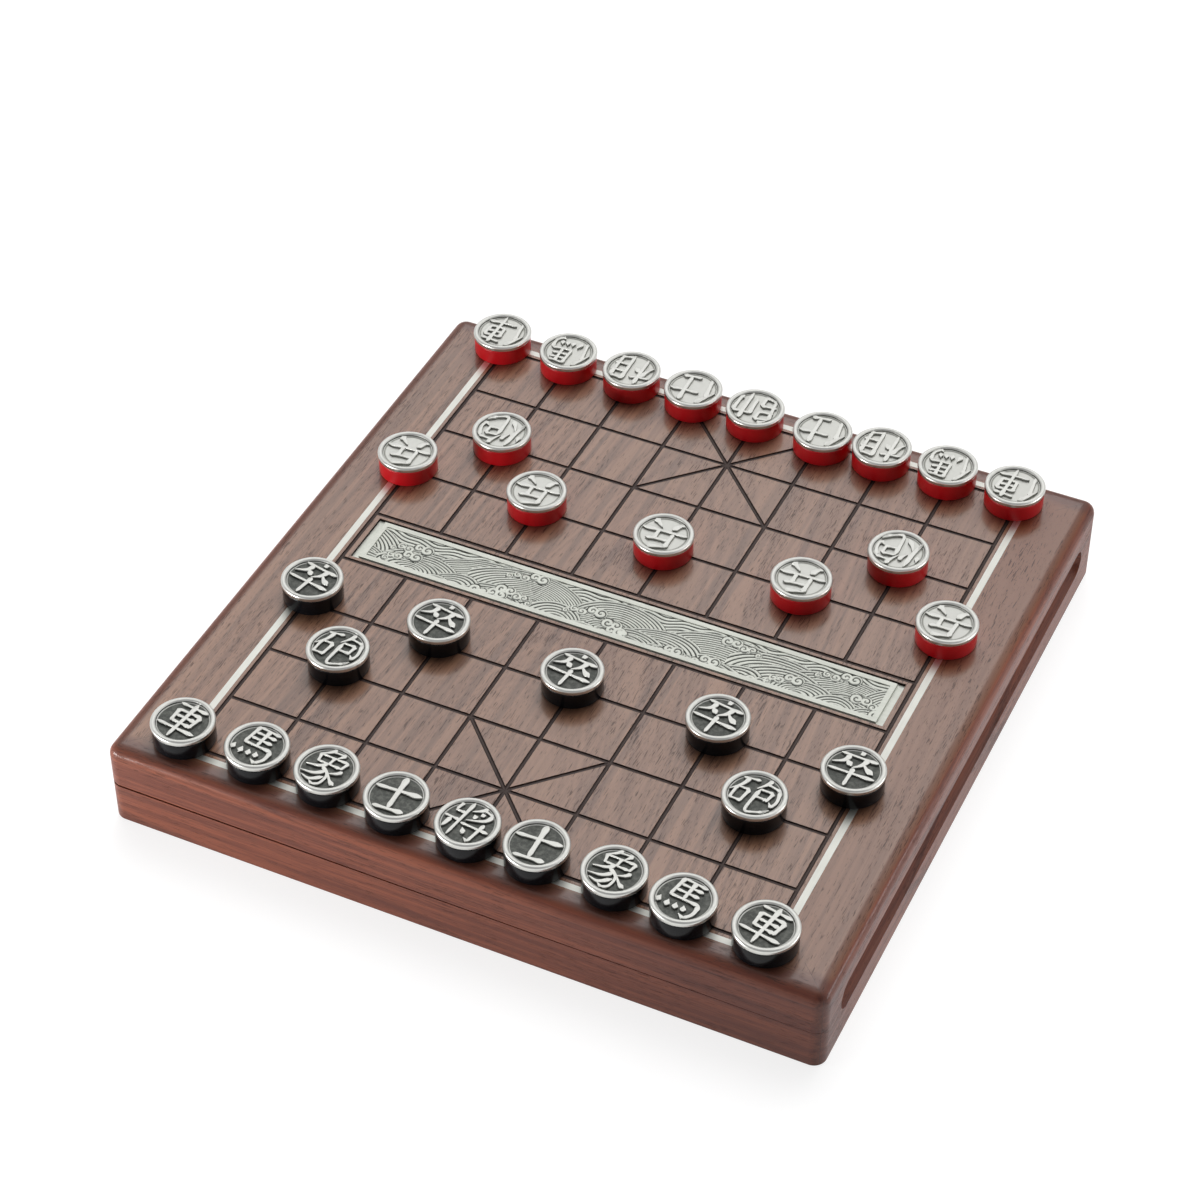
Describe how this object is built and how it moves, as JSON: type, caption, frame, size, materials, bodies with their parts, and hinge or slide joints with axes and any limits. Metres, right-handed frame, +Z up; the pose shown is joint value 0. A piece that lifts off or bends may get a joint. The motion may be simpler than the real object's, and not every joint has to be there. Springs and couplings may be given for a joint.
{
  "type": "xiangqi chess box",
  "caption": "Shallow hinged wooden box whose lid is a playing board for Chinese chess, with a finger cove along one side and turned disc pieces standing on it",
  "frame": {"origin": "middle of the underside, on the surface that the box stands on", "axes": "+X to the right, from the hinges to the finger cove; +Y from the black side of the board to the red side; +Z up"},
  "size_m": [0.3145, 0.3126, 0.0493],
  "materials": {
    "case_wood": "open-grained reddish brown wood, satin oil",
    "board_wood": "open-grained greyish brown wood, satin oil",
    "pewter": "cast pale grey metal, satin",
    "black_lacquer": "black lacquer, gloss, under a cast metal cap",
    "red_lacquer": "red lacquer, satin gloss, under a cast metal cap",
    "felt": "thin felt",
    "brass": "satin"
  },
  "bodies": {
    "base": {"base_front": "case_wood", "base_right": "case_wood", "base_back": "case_wood", "base_left": "case_wood", "floor_panel": "case_wood", "partition": "case_wood", "base_lining_front": "felt", "base_lining_back": "felt", "hinge_front_base_leaf": "brass", "hinge_back_base_leaf": "brass", "hinge_front_pin": "brass", "hinge_back_pin": "brass"},
    "lid": {"lid_front": "case_wood", "lid_right": "case_wood", "lid_back": "case_wood", "lid_left": "case_wood", "board_panel": "board_wood", "inlay_front": "pewter", "inlay_right": "pewter", "inlay_back": "pewter", "inlay_left": "pewter", "river_plate": "pewter", "lid_lining": "felt", "hinge_front_lid_leaf": "brass", "hinge_back_lid_leaf": "brass"},
    "black_chariot_left": {"black_chariot_left": "black_lacquer"},
    "black_horse_left": {"black_horse_left": "black_lacquer"},
    "black_elephant_left": {"black_elephant_left": "black_lacquer"},
    "black_advisor_left": {"black_advisor_left": "black_lacquer"},
    "black_general": {"black_general": "black_lacquer"},
    "black_advisor_right": {"black_advisor_right": "black_lacquer"},
    "black_elephant_right": {"black_elephant_right": "black_lacquer"},
    "black_horse_right": {"black_horse_right": "black_lacquer"},
    "black_chariot_right": {"black_chariot_right": "black_lacquer"},
    "black_cannon_left": {"black_cannon_left": "black_lacquer"},
    "black_cannon_right": {"black_cannon_right": "black_lacquer"},
    "black_soldier_1": {"black_soldier_1": "black_lacquer"},
    "black_soldier_2": {"black_soldier_2": "black_lacquer"},
    "black_soldier_3": {"black_soldier_3": "black_lacquer"},
    "black_soldier_4": {"black_soldier_4": "black_lacquer"},
    "black_soldier_5": {"black_soldier_5": "black_lacquer"},
    "red_chariot_left": {"red_chariot_left": "red_lacquer"},
    "red_horse_left": {"red_horse_left": "red_lacquer"},
    "red_elephant_left": {"red_elephant_left": "red_lacquer"},
    "red_advisor_left": {"red_advisor_left": "red_lacquer"},
    "red_general": {"red_general": "red_lacquer"},
    "red_advisor_right": {"red_advisor_right": "red_lacquer"},
    "red_elephant_right": {"red_elephant_right": "red_lacquer"},
    "red_horse_right": {"red_horse_right": "red_lacquer"},
    "red_chariot_right": {"red_chariot_right": "red_lacquer"},
    "red_cannon_left": {"red_cannon_left": "red_lacquer"},
    "red_cannon_right": {"red_cannon_right": "red_lacquer"},
    "red_soldier_1": {"red_soldier_1": "red_lacquer"},
    "red_soldier_2": {"red_soldier_2": "red_lacquer"},
    "red_soldier_3": {"red_soldier_3": "red_lacquer"},
    "red_soldier_4": {"red_soldier_4": "red_lacquer"},
    "red_soldier_5": {"red_soldier_5": "red_lacquer"}
  },
  "joints": [
    {"name": "lid_hinge", "type": "hinge", "parent": "base", "child": "lid", "pos_m": [-0.1574, 0, 0.0195], "axis": [0, -1, 0], "range_deg": [0, 180]},
    {"name": "lift_black_chariot_left", "type": "slide", "parent": "lid", "child": "black_chariot_left", "axis": [0, 0, 1], "range_m": [0, 0.06]},
    {"name": "lift_black_horse_left", "type": "slide", "parent": "lid", "child": "black_horse_left", "axis": [0, 0, 1], "range_m": [0, 0.06]},
    {"name": "lift_black_elephant_left", "type": "slide", "parent": "lid", "child": "black_elephant_left", "axis": [0, 0, 1], "range_m": [0, 0.06]},
    {"name": "lift_black_advisor_left", "type": "slide", "parent": "lid", "child": "black_advisor_left", "axis": [0, 0, 1], "range_m": [0, 0.06]},
    {"name": "lift_black_general", "type": "slide", "parent": "lid", "child": "black_general", "axis": [0, 0, 1], "range_m": [0, 0.06]},
    {"name": "lift_black_advisor_right", "type": "slide", "parent": "lid", "child": "black_advisor_right", "axis": [0, 0, 1], "range_m": [0, 0.06]},
    {"name": "lift_black_elephant_right", "type": "slide", "parent": "lid", "child": "black_elephant_right", "axis": [0, 0, 1], "range_m": [0, 0.06]},
    {"name": "lift_black_horse_right", "type": "slide", "parent": "lid", "child": "black_horse_right", "axis": [0, 0, 1], "range_m": [0, 0.06]},
    {"name": "lift_black_chariot_right", "type": "slide", "parent": "lid", "child": "black_chariot_right", "axis": [0, 0, 1], "range_m": [0, 0.06]},
    {"name": "lift_black_cannon_left", "type": "slide", "parent": "lid", "child": "black_cannon_left", "axis": [0, 0, 1], "range_m": [0, 0.06]},
    {"name": "lift_black_cannon_right", "type": "slide", "parent": "lid", "child": "black_cannon_right", "axis": [0, 0, 1], "range_m": [0, 0.06]},
    {"name": "lift_black_soldier_1", "type": "slide", "parent": "lid", "child": "black_soldier_1", "axis": [0, 0, 1], "range_m": [0, 0.06]},
    {"name": "lift_black_soldier_2", "type": "slide", "parent": "lid", "child": "black_soldier_2", "axis": [0, 0, 1], "range_m": [0, 0.06]},
    {"name": "lift_black_soldier_3", "type": "slide", "parent": "lid", "child": "black_soldier_3", "axis": [0, 0, 1], "range_m": [0, 0.06]},
    {"name": "lift_black_soldier_4", "type": "slide", "parent": "lid", "child": "black_soldier_4", "axis": [0, 0, 1], "range_m": [0, 0.06]},
    {"name": "lift_black_soldier_5", "type": "slide", "parent": "lid", "child": "black_soldier_5", "axis": [0, 0, 1], "range_m": [0, 0.06]},
    {"name": "lift_red_chariot_left", "type": "slide", "parent": "lid", "child": "red_chariot_left", "axis": [0, 0, 1], "range_m": [0, 0.06]},
    {"name": "lift_red_horse_left", "type": "slide", "parent": "lid", "child": "red_horse_left", "axis": [0, 0, 1], "range_m": [0, 0.06]},
    {"name": "lift_red_elephant_left", "type": "slide", "parent": "lid", "child": "red_elephant_left", "axis": [0, 0, 1], "range_m": [0, 0.06]},
    {"name": "lift_red_advisor_left", "type": "slide", "parent": "lid", "child": "red_advisor_left", "axis": [0, 0, 1], "range_m": [0, 0.06]},
    {"name": "lift_red_general", "type": "slide", "parent": "lid", "child": "red_general", "axis": [0, 0, 1], "range_m": [0, 0.06]},
    {"name": "lift_red_advisor_right", "type": "slide", "parent": "lid", "child": "red_advisor_right", "axis": [0, 0, 1], "range_m": [0, 0.06]},
    {"name": "lift_red_elephant_right", "type": "slide", "parent": "lid", "child": "red_elephant_right", "axis": [0, 0, 1], "range_m": [0, 0.06]},
    {"name": "lift_red_horse_right", "type": "slide", "parent": "lid", "child": "red_horse_right", "axis": [0, 0, 1], "range_m": [0, 0.06]},
    {"name": "lift_red_chariot_right", "type": "slide", "parent": "lid", "child": "red_chariot_right", "axis": [0, 0, 1], "range_m": [0, 0.06]},
    {"name": "lift_red_cannon_left", "type": "slide", "parent": "lid", "child": "red_cannon_left", "axis": [0, 0, 1], "range_m": [0, 0.06]},
    {"name": "lift_red_cannon_right", "type": "slide", "parent": "lid", "child": "red_cannon_right", "axis": [0, 0, 1], "range_m": [0, 0.06]},
    {"name": "lift_red_soldier_1", "type": "slide", "parent": "lid", "child": "red_soldier_1", "axis": [0, 0, 1], "range_m": [0, 0.06]},
    {"name": "lift_red_soldier_2", "type": "slide", "parent": "lid", "child": "red_soldier_2", "axis": [0, 0, 1], "range_m": [0, 0.06]},
    {"name": "lift_red_soldier_3", "type": "slide", "parent": "lid", "child": "red_soldier_3", "axis": [0, 0, 1], "range_m": [0, 0.06]},
    {"name": "lift_red_soldier_4", "type": "slide", "parent": "lid", "child": "red_soldier_4", "axis": [0, 0, 1], "range_m": [0, 0.06]},
    {"name": "lift_red_soldier_5", "type": "slide", "parent": "lid", "child": "red_soldier_5", "axis": [0, 0, 1], "range_m": [0, 0.06]}
  ]
}
